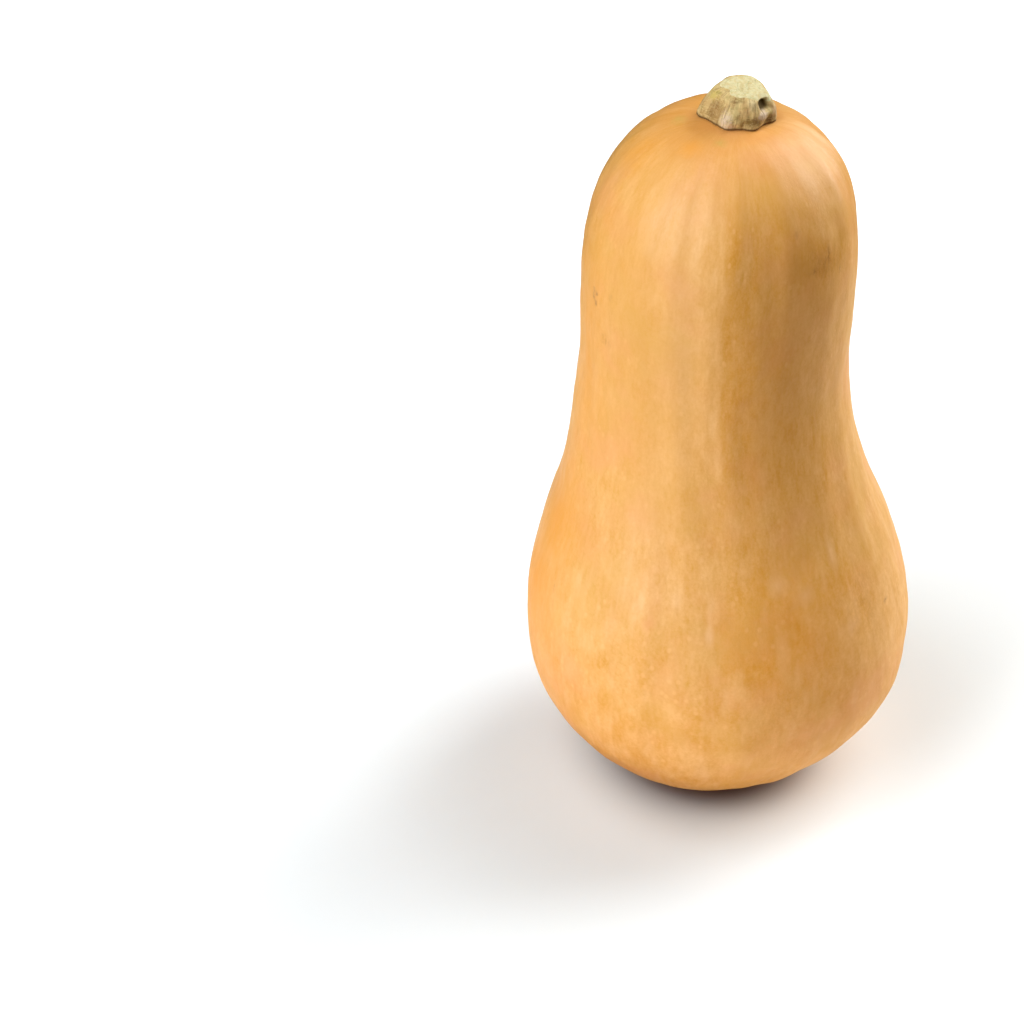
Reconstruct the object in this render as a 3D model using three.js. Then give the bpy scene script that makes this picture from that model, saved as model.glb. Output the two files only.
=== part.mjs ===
// A whole butternut squash, as picked: the fruit standing on its blossom end, and the cut stub of its stem.
// Millimetres, +Z up. The origin lies on the surface that the fruit stands on, under the middle of the bulb,
// and -Y is the front.
// Each piece is one closed stack of rings: a ring is a loop round the axis, and two poles close the ends.
import * as THREE from "three";

const TURN = 2 * Math.PI;
const { degToRad, lerp, smoothstep } = THREE.MathUtils;

// ---- Fruit: driving dimensions ----
const FRUIT_HEIGHT = 220.6; // from the flat spot to the top of the crown
const FOOT_RADIUS = 17; // the flat spot at the blossom end
const FRUIT_RINGS = 52; // rings from the foot to the crown
const FRUIT_SIDES = 60; // points in one ring
const DEPTH_RATIO = 0.985; // front to back over side to side: no squash is quite round

// The side of the fruit as [radius, height], from the foot over the bulb, waist and neck to the crown.
// A smooth curve runs through the points, so only the turns of the outline are listed.
const OUTLINE = [
  [FOOT_RADIUS, 0],
  [25, 2.5],
  [35, 8],
  [45, 18],
  [54, 33],
  [57, 49],
  [55.9, 66],
  [51.4, 84],
  [45.1, 102],
  [40.4, 122],
  [38.1, 142],
  [38, 162],
  [37.7, 180],
  [34.9, 197],
  [28.7, 209],
  [21, 216],
  [14.5, 218.9],
  [9, 219.7],
  [0, FRUIT_HEIGHT],
];

// Blossom scar under the fruit: a dimple with a corky button in it, as [radius, height] from the middle out
// to the flat spot.
const SCAR_BUTTON_HEIGHT = 0.4; // the button stays clear of the surface that the fruit stands on
const SCAR_OUTLINE = [
  [1.7, 0.5],
  [2.8, 1.3],
  [4.6, 1.7],
  [6.4, 0.5],
  [7.6, 0],
  [12.4, 0],
];

// The growing axis sways as it climbs: [height, x, y], joined by a smooth curve.
const AXIS = [
  [0, -2.2, 0.8],
  [45, 0, 0],
  [90, -1.6, 1.2],
  [135, -4.5, 2.2],
  [180, -4.5, 1.4],
  [FRUIT_HEIGHT, -3.2, 0.6],
];

// Faint flutes: shallow lobes on the shoulders of the crown and on the lower bulb.
const FLUTES = 10;
const FLUTE_DEPTH = 0.4;
const FLUTE_START = degToRad(9);
const SHOULDER = { height: 203, reach: 22 };
const LOWER_BULB = { height: 26, reach: 24, share: 0.6 };

// Gentle swellings (+) and hollows (-) of the flesh: [angle in degrees, height, reach, lift].
const SWELLINGS = [
  [345, 28, 22, 0.6],
  [0, 109, 15, -0.4],
  [180, 97, 10, -0.45],
  [180, 77, 9, -0.45],
  [180, 123, 15, 0.45],
  [182, 150, 16, -0.3],
  [232, 62, 16, -0.4],
  [285, 118, 18, 0.4],
  [312, 60, 15, 0.45],
  [60, 90, 18, 0.5],
  [118, 60, 20, -0.5],
  [95, 150, 20, -0.4],
  [30, 165, 18, 0.4],
];

// Relief fades out where the fruit meets what it stands on, and under the stem.
const FOOT_FADE = 12; // height over which it comes in
const STEM_FADE = [9, 24]; // radii between which it goes out

// ---- Stem: driving dimensions ----
const STEM_X = 1.3; // where it grows from the crown, from the middle of the crown
const STEM_Y = 1.7;
const STEM_GAP = 0.3; // clearance over the crown
const STEM_SIDES = 48;
const STEM_RINGS = 14; // steps up the side of the stub
const STEM_BASE_RADIUS = 8.3;
const STEM_TOP_RADIUS = 5.9;
const STEM_BULGE = 0.9; // the side is fuller than a straight cone by this much, halfway up
const STEM_HEIGHT = 7.9; // from the top of the crown to the middle of the cut
const STEM_LEAN_X = 1.6; // how far the cut stands to the side of the root
const STEM_LEAN_Y = 0.3;

// The cut across the stem.
const CUT_SLOPE = 0.04; // it rises this much per millimetre from front to back
const CUT_FALL = 0.03; // and falls off to the right, by this times the square of the distance
const CUT_DISH = 0.4; // the soft pith sinks in the middle
const CUT_DISH_REACH = 2.2;
const CUT_EDGE = 0.7; // the rim is rounded in by this much
const CUT_EDGE_START = 0.9; // from this share of the stem's height

const ROOT_RINGS = [0.35, 0.7]; // rings under the stem, as shares of the way out to its rim
const CUT_RINGS = [0.9, 0.7, 0.45, 0.2]; // rings over the cut, from its rim inwards

// The ridges of the angled stem, which end in toes on the crown: [angle in degrees, half width, lift at the root].
const RIDGES = [
  [180, 22, 2.5],
  [252, 16, 0.8],
  [288, 18, 1.3],
  [350, 24, 2.6],
  [50, 26, 1.6],
  [115, 26, 1.8],
];
const RIDGE_KEPT = 0.3; // share of a ridge's lift that is left at the cut

// A pit in the side of the stem, just under the cut.
const PIT = { angle: degToRad(323), share: 0.76, reach: 1.5, depth: 1.7 };

// ---- Shared forms ----

// The signed angle from one direction to another, the short way round.
function angleBetween(a, b) {
  return Math.atan2(Math.sin(a - b), Math.cos(a - b));
}

// A smooth rise and fall: 1 in the middle, and nearly nothing past two reaches.
function bell(distance, reach) {
  return Math.exp(-((distance / reach) ** 2));
}

// A smooth curve through [radius, height] points, sampled at equal steps along its length.
function sampleOutline(outline, steps) {
  const points = outline.map(([radius, height]) => new THREE.Vector3(radius, 0, height));
  const curve = new THREE.CatmullRomCurve3(points, false, "centripetal");
  return curve.getSpacedPoints(steps).map((point) => [point.x, point.z]);
}

// One ring of points, made by a function of the angle.
function ringOf(sides, pointAt) {
  return Array.from({ length: sides }, (_, side) => pointAt((TURN * side) / sides));
}

// One closed solid from a stack of rings, bottom pole first. Each ring has the same number of points.
function solidFromRings(bottomPole, rings, topPole) {
  const sides = rings[0].length;
  const vertices = [bottomPole, ...rings.flat(), topPole];
  const at = (ring, side) => 1 + ring * sides + (side % sides);
  const triangles = [];
  for (let side = 0; side < sides; side++) {
    triangles.push(0, at(0, side + 1), at(0, side));
    for (let ring = 0; ring < rings.length - 1; ring++) {
      const [a, b] = [at(ring, side), at(ring, side + 1)];
      const [c, d] = [at(ring + 1, side + 1), at(ring + 1, side)];
      triangles.push(a, b, c, a, c, d);
    }
    triangles.push(vertices.length - 1, at(rings.length - 1, side), at(rings.length - 1, side + 1));
  }
  const geometry = new THREE.BufferGeometry();
  geometry.setAttribute("position", new THREE.Float32BufferAttribute(vertices.flat(), 3));
  geometry.setIndex(triangles);
  geometry.computeVertexNormals();
  return geometry;
}

// ---- Fruit ----

// A smooth curve through the axis points, read by height.
const axisCurve = new THREE.CubicInterpolant(
  AXIS.map(([height]) => height),
  AXIS.flatMap(([, x, y]) => [x, y]),
  2,
);

// How far flutes, swellings and hollows lift the skin at an angle, for an outline point.
function skinRelief(radius, height, angle) {
  const fluted =
    bell(height - SHOULDER.height, SHOULDER.reach) +
    LOWER_BULB.share * bell(height - LOWER_BULB.height, LOWER_BULB.reach);
  let relief = FLUTE_DEPTH * fluted * Math.cos(FLUTES * (angle - FLUTE_START));
  for (const [degrees, middle, reach, lift] of SWELLINGS) {
    const around = angleBetween(angle, degToRad(degrees)) * radius;
    relief += lift * bell(Math.hypot(around, height - middle), reach);
  }
  return relief * smoothstep(height, 0, FOOT_FADE) * smoothstep(radius, ...STEM_FADE);
}

// The point of the skin that an outline point reaches at an angle.
function skinPoint(radius, height, angle) {
  const [axisX, axisY] = axisCurve.evaluate(height);
  const reached = radius + skinRelief(radius, height, angle);
  return [axisX + reached * Math.cos(angle), axisY + DEPTH_RATIO * reached * Math.sin(angle), height];
}

const CROWN_MIDDLE = skinPoint(0, FRUIT_HEIGHT, 0);

function fruitGeometry() {
  const side = sampleOutline(OUTLINE, FRUIT_RINGS).slice(0, -1);
  const rings = [...SCAR_OUTLINE, ...side].map(([radius, height]) =>
    ringOf(FRUIT_SIDES, (angle) => skinPoint(radius, height, angle)),
  );
  return solidFromRings(skinPoint(0, SCAR_BUTTON_HEIGHT, 0), rings, CROWN_MIDDLE);
}

// ---- Stem ----

const CROWN_SAMPLES = sampleOutline(OUTLINE, 400).reverse();

// The height of the bare crown under a point.
function crownHeight(x, y) {
  const distance = Math.hypot(x - CROWN_MIDDLE[0], (y - CROWN_MIDDLE[1]) / DEPTH_RATIO);
  const outer = Math.max(1, CROWN_SAMPLES.findIndex(([radius]) => radius >= distance));
  const [[innerRadius, innerHeight], [outerRadius, outerHeight]] = CROWN_SAMPLES.slice(outer - 1, outer + 1);
  return lerp(innerHeight, outerHeight, (distance - innerRadius) / (outerRadius - innerRadius));
}

// The height of the cut at a point, given from the middle of the cut.
function cutHeight(x, y) {
  const dish = CUT_DISH * bell(Math.hypot(x, y), CUT_DISH_REACH);
  return FRUIT_HEIGHT + STEM_HEIGHT + CUT_SLOPE * y - CUT_FALL * Math.max(x, 0) ** 2 - dish;
}

// The radius of the stem at an angle, a share of the way up from its root to the cut.
function stemRadius(angle, share) {
  const cone = lerp(STEM_BASE_RADIUS, STEM_TOP_RADIUS, share) + 4 * STEM_BULGE * share * (1 - share);
  const ridge = RIDGES.reduce(
    (sum, [degrees, width, lift]) => sum + lift * bell(angleBetween(angle, degToRad(degrees)), degToRad(width)),
    0,
  );
  const pitDistance = Math.hypot(
    angleBetween(angle, PIT.angle) * STEM_TOP_RADIUS,
    (share - PIT.share) * STEM_HEIGHT,
  );
  const edge = CUT_EDGE * smoothstep(share, CUT_EDGE_START, 1);
  return cone + ridge * lerp(1, RIDGE_KEPT, share) - PIT.depth * bell(pitDistance, PIT.reach) - edge;
}

// A point of the stem: share goes up its side, and inward goes from its rim to its middle.
function stemPoint(angle, share, inward = 1) {
  const radius = stemRadius(angle, share) * inward;
  const [fromMiddleX, fromMiddleY] = [radius * Math.cos(angle), radius * Math.sin(angle)];
  const x = CROWN_MIDDLE[0] + STEM_X + STEM_LEAN_X * share + fromMiddleX;
  const y = CROWN_MIDDLE[1] + STEM_Y + STEM_LEAN_Y * share + fromMiddleY;
  return [x, y, lerp(crownHeight(x, y) + STEM_GAP, cutHeight(fromMiddleX, fromMiddleY), share)];
}

function stemGeometry() {
  const ring = (share, inward) => ringOf(STEM_SIDES, (angle) => stemPoint(angle, share, inward));
  const side = Array.from({ length: STEM_RINGS + 1 }, (_, step) => ring(step / STEM_RINGS));
  const root = ROOT_RINGS.map((inward) => ring(0, inward));
  const cut = CUT_RINGS.map((inward) => ring(1, inward));
  return solidFromRings(stemPoint(0, 0, 0), [...root, ...side, ...cut], stemPoint(0, 1, 0));
}

// ---- Assembly ----

function piece(name, geometry, color, roughness) {
  const material = new THREE.MeshStandardMaterial({ color, roughness, metalness: 0 });
  const mesh = new THREE.Mesh(geometry, material);
  mesh.name = name;
  return mesh;
}

const squash = new THREE.Group();
squash.add(piece("fruit", fruitGeometry(), 0xe3a762, 0.45));
squash.add(piece("stem", stemGeometry(), 0xb5a070, 0.85));

export default squash;
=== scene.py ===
"""The looks of a whole butternut squash: its rind, the cut stub of its stem, and a plain studio round them.

Unless a comment says otherwise, sizes are in millimetres, heights are above the surface that the squash
stands on, and angles are in degrees, anticlockwise seen from above, from the squash's right (+X). The front
is -Y. Meshes are made in metres, in the CAD frame.
"""
import logging
from collections.abc import Sequence
from dataclasses import dataclass, field
from enum import Enum

import bpy
import numpy as np
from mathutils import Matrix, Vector


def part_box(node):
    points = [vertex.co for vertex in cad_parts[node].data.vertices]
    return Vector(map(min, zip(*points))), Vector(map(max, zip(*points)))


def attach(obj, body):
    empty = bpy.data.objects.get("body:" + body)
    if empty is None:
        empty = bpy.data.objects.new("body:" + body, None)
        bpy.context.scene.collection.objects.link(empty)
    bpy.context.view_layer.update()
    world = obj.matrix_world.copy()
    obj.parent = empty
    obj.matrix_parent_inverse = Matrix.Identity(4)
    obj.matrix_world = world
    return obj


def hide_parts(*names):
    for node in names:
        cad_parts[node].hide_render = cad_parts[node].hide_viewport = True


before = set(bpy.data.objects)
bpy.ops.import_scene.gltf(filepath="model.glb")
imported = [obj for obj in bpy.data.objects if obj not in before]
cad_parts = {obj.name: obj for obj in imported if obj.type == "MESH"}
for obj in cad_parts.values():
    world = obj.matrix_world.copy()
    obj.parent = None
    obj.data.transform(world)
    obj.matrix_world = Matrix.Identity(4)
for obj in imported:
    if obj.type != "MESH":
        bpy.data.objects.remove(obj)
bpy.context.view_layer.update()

log = logging.getLogger("squash")

MM = 0.001
TURN = 2.0 * np.pi
CURVE_STEPS = 600  # how finely a driving outline is read
SPAN_STEPS = 80  # how finely each span of a curve is cut before its length is measured
STEM_GIRTH, STEM_CLIMB = 7.0, 7.9  # the radius and height that the stem's side is unrolled at

Socket = bpy.types.NodeSocket
Value = Socket | float | Sequence[float]
Numbers = np.ndarray | float
Colour = tuple[float, float, float]


# ---------------------------------------------------------------- shared forms


def bell(distance: np.ndarray, reach: float) -> np.ndarray:
    """A smooth rise and fall, exp(-(distance / reach)^2): 1 in the middle, nearly 0 past two reaches."""
    return np.exp(-((distance / reach) ** 2))


def angle_between(a: np.ndarray, b: np.ndarray) -> np.ndarray:
    """The signed angle from b to a, the short way round, all in radians."""
    return np.arctan2(np.sin(a - b), np.cos(a - b))


def bell_round(angle: np.ndarray, at: float, wide: float) -> np.ndarray:
    """A bell of an angle in radians, round a middle and with a reach in degrees."""
    return bell(angle_between(angle, np.radians(at)), np.radians(wide))


def smooth_step(value: np.ndarray, low: float, high: float) -> np.ndarray:
    """0 at low, 1 at high, level past them, and 3t^2 - 2t^3 between them."""
    t = np.clip((value - low) / (high - low), 0.0, 1.0)
    return t * t * (3.0 - 2.0 * t)


def cubic(t: Numbers, start: Numbers, leave: Numbers, end: Numbers, arrive: Numbers) -> Numbers:
    """The cubic over t from 0 to 1 that runs from start to end, with the slopes leave and arrive there."""
    ends = start * (2 * t**3 - 3 * t**2 + 1) + leave * (t**3 - 2 * t**2 + t)
    return ends + end * (3 * t**2 - 2 * t**3) + arrive * (t**3 - t**2)


def curve_through(points: Sequence[Sequence[float]], steps: int) -> np.ndarray:
    """Places equally long steps along a centripetal Catmull-Rom curve.

    Each span is a cubic from one point to the next. The square root of a span's length stands for its time,
    and the slope at a point joins the slopes of the spans beside it, weighted by their times.

    Args:
        points: The points that the curve runs through, as [radius, height].
        steps: How many steps to cut the curve into.

    Returns:
        An array of steps + 1 points.
    """
    p = np.asarray(points, float)
    p = np.vstack([2 * p[0] - p[1], p, 2 * p[-1] - p[-2]])
    time = np.sqrt(np.linalg.norm(np.diff(p, axis=0), axis=1))[:, None]
    slope = np.diff(p, axis=0) / time
    joined = slope[:-1] + slope[1:] - (p[2:] - p[:-2]) / (time[:-1] + time[1:])
    t = np.linspace(0.0, 1.0, SPAN_STEPS, endpoint=False)[:, None, None]
    spans = cubic(t, p[1:-2], joined[:-1] * time[1:-1], p[2:-1], joined[1:] * time[1:-1])
    line = np.vstack([spans.transpose(1, 0, 2).reshape(-1, p.shape[1]), p[-2]])
    length = np.concatenate([[0.0], np.cumsum(np.linalg.norm(np.diff(line, axis=0), axis=1))])
    wanted = np.linspace(0.0, length[-1], steps + 1)
    return np.stack([np.interp(wanted, length, line[:, k]) for k in range(p.shape[1])], axis=1)


def height_curve(heights: np.ndarray, stations: Sequence[Sequence[float]]) -> np.ndarray:
    """Reads a smooth curve through [height, x, y] stations at some heights.

    Each span is a cubic in height, whose slope at a station is the mean of the spans' slopes beside it.

    Args:
        heights: The heights to read at, of any shape.
        stations: The points of the curve, lowest first.

    Returns:
        An array of heights' shape, with x and y along a last axis.
    """
    table = np.asarray(stations, float)
    z, value = table[:, 0], table[:, 1:]
    secant = np.diff(value, axis=0) / np.diff(z)[:, None]
    slope = np.vstack([secant[:1], (secant[:-1] + secant[1:]) / 2, secant[-1:]])
    span = np.clip(np.searchsorted(z, heights, side="right") - 1, 0, len(z) - 2)
    gap = (z[span + 1] - z[span])[..., None]
    t = (heights - z[span])[..., None] / gap
    return cubic(t, value[span], slope[span] * gap, value[span + 1], slope[span + 1] * gap)


def triples(*parts: np.ndarray) -> np.ndarray:
    """Spreads an x, a y and a z over their common grid, and joins them along a last axis."""
    return np.stack(np.broadcast_arrays(*parts), axis=-1)


@dataclass(frozen=True)
class Ripples:
    """Smooth seeded unevenness: a sum of plane waves in random directions, whose mean square is lift^2."""

    lift: float
    reach: float  # the usual distance from a crest to the next
    seed: int
    waves: int = 36
    spread: tuple = (0.7, 1.4)  # how often the rarest and the most frequent wave comes, in parts of the usual

    def at(self, points: np.ndarray) -> np.ndarray:
        """Reads the unevenness.

        Args:
            points: The places to read it at, with x, y and z along the last axis.

        Returns:
            How far each place is lifted.
        """
        draw = np.random.default_rng(self.seed)
        way = draw.normal(size=(self.waves, 3))
        often = draw.uniform(*self.spread, (self.waves, 1))
        way *= TURN / self.reach / np.linalg.norm(way, axis=1)[:, None] * often
        phase = draw.uniform(0.0, TURN, self.waves)
        total = np.zeros(points.shape[:-1])
        for k in range(self.waves):
            total += np.cos(points @ way[k] + phase[k])
        return self.lift * (total * np.sqrt(2.0 / self.waves))


def link(name: str, data: bpy.types.ID) -> bpy.types.Object:
    """Puts a mesh, a lamp or a lens into the scene as an object at the origin.

    Args:
        name: The new object's name.
        data: The mesh, lamp or lens.

    Returns:
        The new object.
    """
    made = bpy.data.objects.new(name, data)
    bpy.context.scene.collection.objects.link(made)
    return made


def ring_mesh(name: str, rings: np.ndarray, *poles: np.ndarray) -> bpy.types.Object:
    """Builds a mesh from a stack of rings, with its faces pointing outwards.

    Args:
        name: The new object's name.
        rings: An array of rings x sides x 3, lowest or outermost ring first.
        poles: The point that closes the last ring, and then the one that closes the first, if it is closed.

    Returns:
        The new object, at the origin, smooth shaded.
    """
    count, sides = rings.shape[:2]
    vertices = np.vstack([rings.reshape(-1, 3), *poles]) * MM
    index = np.arange(count * sides).reshape(count, sides)
    beside = np.roll(index, -1, axis=1)
    faces = np.stack([index[:-1], beside[:-1], beside[1:], index[1:]], axis=-1).reshape(-1, 4).tolist()
    for k, (a, b) in enumerate([(index[-1], beside[-1]), (beside[0], index[0])][: len(poles)]):
        faces += np.stack([np.full(sides, count * sides + k), a, b], axis=-1).tolist()
    mesh = bpy.data.meshes.new(name)
    mesh.from_pydata(vertices.tolist(), [], faces)
    mesh.polygons.foreach_set("use_smooth", np.ones(len(mesh.polygons), bool))
    mesh.update()
    return link(name, mesh)


def fit_inside(piece: bpy.types.Object, node: str) -> None:
    """Draws each side of a piece in by the little that its fine relief stands out of its CAD node's box.

    Args:
        piece: The piece, at the origin.
        node: The CAD node that it stands for.
    """
    low, high = (np.array(corner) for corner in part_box(node))
    flat = np.empty(3 * len(piece.data.vertices))
    piece.data.vertices.foreach_get("co", flat)
    points = flat.reshape(-1, 3)
    middle = 0.5 * (low + high)
    over = np.minimum(1.0, (high - middle) / (points.max(axis=0) - middle))
    under = np.minimum(1.0, (middle - low) / (middle - points.min(axis=0)))
    points[:] = middle + (points - middle) * np.where(points > middle, over, under)
    piece.data.vertices.foreach_set("co", points.ravel())
    piece.data.update()


def write_attribute(piece: bpy.types.Object, name: str, values: np.ndarray) -> None:
    """Keeps something for each vertex of a piece, for its material to read.

    Args:
        piece: The piece.
        name: What the material reads it by.
        values: One number, or one x, y, z triple, for each vertex.
    """
    kind, key = ("FLOAT", "value") if values.ndim == 1 else ("FLOAT_VECTOR", "vector")
    attribute = piece.data.attributes.new(name, kind, "POINT")
    attribute.data.foreach_set(key, values.astype(np.float32).ravel())


def write_zones(piece: bpy.types.Object, shape: tuple[int, ...], zones: dict[str, tuple]) -> None:
    """Keeps, for each vertex of a closed piece made by ring_mesh, how much it belongs to each zone.

    Args:
        piece: The piece.
        shape: How many rings it has, and how many sides.
        zones: For each zone, the shares on the rings, and those at the last ring's pole and at the first's.
    """
    for name, (shares, *poles) in zones.items():
        write_attribute(piece, name, np.concatenate([np.broadcast_to(shares, shape).ravel(), poles]))


def srgb(*parts: int) -> Colour:
    """Turns a screen colour into the linear colour that shaders work in.

    Args:
        parts: Its red, green and blue, from 0 to 255.

    Returns:
        The linear colour, from 0 to 1.
    """
    screen = np.array(parts) / 255.0
    linear = np.where(screen <= 0.04045, screen / 12.92, ((screen + 0.055) / 1.055) ** 2.4)
    return tuple(float(v) for v in linear)


# ---------------------------------------------------------------- material bench


class Step(Enum):
    """The steps of arithmetic that the finishes use, named as Blender names them."""

    ADD = "ADD"
    SUBTRACT = "SUBTRACT"
    MULTIPLY = "MULTIPLY"
    DIVIDE = "DIVIDE"
    MULTIPLY_ADD = "MULTIPLY_ADD"
    MAXIMUM = "MAXIMUM"
    ABSOLUTE = "ABSOLUTE"
    EXPONENT = "EXPONENT"
    LENGTH = "LENGTH"
    DISTANCE = "DISTANCE"


@dataclass(frozen=True)
class Noise:
    """One noise of a finish, which goes from 0 to 1."""

    size: float  # about how wide its features are
    detail: float = 2.0
    rough: float = 0.5
    bend: float = 0.0
    follows: str = ""  # the mesh attribute that it is read along, or else the place on the piece
    squeeze: tuple = (1.0, 1.0, 1.0)  # of each axis that it is read along, so its features are longer below 1
    shift: float = 0.0  # how far off it is read, so that it differs from the others
    climb: tuple = ()  # the values that it climbs smoothly between, and the ends of that climb if not 0 and 1


class Bench:
    """Writes the nodes of one material, with short names for the few kinds that the finishes use."""

    def __init__(self, name: str) -> None:
        """Starts a material with an empty node tree, an output and one Principled shader.

        Args:
            name: The material's name.
        """
        self.material = bpy.data.materials.new(name)
        self.material.use_nodes = True
        self.tree = self.material.node_tree
        self.tree.nodes.clear()
        self.shader = self.tree.nodes.new("ShaderNodeBsdfPrincipled")
        output = self.tree.nodes.new("ShaderNodeOutputMaterial")
        self.tree.links.new(self.shader.outputs["BSDF"], output.inputs["Surface"])

    def fill(self, node: bpy.types.Node, inputs: dict[int | str, Value]) -> None:
        """Links each named input of a node to an output, or sets its value.

        Args:
            node: The node.
            inputs: An output, a number, a place or a colour for each input.
        """
        for name, value in inputs.items():
            target = node.inputs[name]
            if isinstance(value, bpy.types.NodeSocket):
                self.tree.links.new(value, target)
            elif target.type == "RGBA":
                target.default_value = (*value, 1.0)
            else:
                target.default_value = value

    def node(self, kind: str, inputs: dict[int | str, Value], **settings: str) -> bpy.types.Node:
        """Adds one node.

        Args:
            kind: Its kind, as Blender names it after ShaderNode.
            inputs: What goes into its inputs.
            settings: Its settings.

        Returns:
            The new node.
        """
        node = self.tree.nodes.new("ShaderNode" + kind)
        for name, setting in settings.items():
            setattr(node, name, setting)
        self.fill(node, inputs)
        return node

    def finish(self, inputs: dict[int | str, Value]) -> bpy.types.Material:
        """Fills the shader's inputs, and gives the finished material."""
        self.fill(self.shader, inputs)
        return self.material

    def maths(self, step: Step, *numbers: Value) -> Socket:
        """One step of arithmetic on numbers."""
        return self.node("Math", dict(enumerate(numbers)), operation=step.value).outputs[0]

    def vector(self, step: Step, *places: Value) -> Socket:
        """One step of arithmetic on places, which gives a place."""
        return self.node("VectorMath", dict(enumerate(places)), operation=step.value).outputs["Vector"]

    def measure(self, step: Step, *places: Value) -> Socket:
        """One step of arithmetic on places, which gives a number."""
        return self.node("VectorMath", dict(enumerate(places)), operation=step.value).outputs["Value"]

    def place(self, squeeze: Sequence[float] = (1.0, 1.0, 1.0)) -> Socket:
        """The place on the piece in millimetres, multiplied along each axis."""
        on_piece = self.node("TexCoord", {}).outputs["Object"]
        return self.vector(Step.MULTIPLY, on_piece, [share / MM for share in squeeze])

    def along(self, attribute: str, squeeze: Sequence[float] = (1.0, 1.0, 1.0)) -> Socket:
        """A place from a mesh attribute, multiplied along each axis."""
        kept = self.node("Attribute", {}, attribute_name=attribute).outputs["Vector"]
        return self.vector(Step.MULTIPLY, kept, squeeze)

    def number(self, attribute: str) -> Socket:
        """One number from a mesh attribute."""
        return self.node("Attribute", {}, attribute_name=attribute).outputs["Fac"]

    def noise(self, noise: Noise) -> Socket:
        """Writes one noise.

        Args:
            noise: Its numbers.

        Returns:
            Its value at each place, from 0 to 1 or between the ends of its climb.
        """
        where = self.along(noise.follows, noise.squeeze) if noise.follows else self.place(noise.squeeze)
        if noise.shift:
            where = self.vector(Step.ADD, where, (noise.shift, noise.shift, noise.shift))
        look = {"Detail": noise.detail, "Roughness": noise.rough, "Distortion": noise.bend}
        value = self.node("TexNoise", {"Vector": where, "Scale": 1.0 / noise.size, **look}).outputs["Fac"]
        return self.ramp(value, *noise.climb) if noise.climb else value

    def bent(self, where: Socket, size: float, far: float) -> Socket:
        """A place pushed about by a noise, by up to half of far each way."""
        push = self.node("TexNoise", {"Vector": where, "Scale": 1.0 / size}).outputs["Color"]
        return self.vector(Step.MULTIPLY_ADD, push, (far, far, far), where)

    def cells(self, where: Socket, size: float, soft: float = 0.0) -> Socket:
        """The distance to the nearest of scattered points, in cell widths, with soft joins above 0."""
        numbers = {"Vector": where, "Scale": 1.0 / size, **({"Smoothness": soft} if soft else {})}
        return self.node("TexVoronoi", numbers, feature="SMOOTH_F1" if soft else "F1").outputs["Distance"]

    def ramp(self, value: Socket, low: float, high: float, start: float = 0.0, end: float = 1.0) -> Socket:
        """A smooth climb, level past its ends.

        Args:
            value: What climbs.
            low: Where the climb starts.
            high: Where it ends.
            start: What it starts from.
            end: What it ends at.

        Returns:
            How high the climb is.
        """
        ends = {"From Min": low, "From Max": high, "To Min": start, "To Max": end}
        node = self.node("MapRange", {"Value": value, **ends}, interpolation_type="SMOOTHSTEP")
        return node.outputs["Result"]

    def lay(self, share: Value, under: Value, over: Value) -> Socket:
        """Lays one colour over another by a share."""
        return self.node("Mix", {0: share, 6: under, 7: over}, data_type="RGBA").outputs[2]

    def clamp(self, value: Socket) -> Socket:
        """A value kept between 0 and 1."""
        return self.node("Clamp", {"Value": value}).outputs["Result"]

    def bump(self, height: Socket, depth: float, **below: Socket) -> Socket:
        """A bump whose height of 0 to 1 stands for a depth, over the bump given as Normal, if any."""
        numbers = {"Strength": 1.0, "Distance": depth * MM, "Height": height}
        return self.node("Bump", {**numbers, **below}).outputs["Normal"]


# ---------------------------------------------------------------- the fruit


@dataclass(frozen=True)
class SkinGrid:
    """The grid that the fruit's skin is worked out on: a row for each ring and a column for each side."""

    radius: np.ndarray  # the outline's at each ring
    height: np.ndarray  # of each ring
    angle: np.ndarray  # of each side, in radians
    growth: np.ndarray  # where each point lies on the unrolled growth


@dataclass(frozen=True)
class Swelling:
    """A gentle swelling of the flesh, or a hollow where its lift is below 0."""

    angle: float
    height: float
    reach: float
    lift: float


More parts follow.
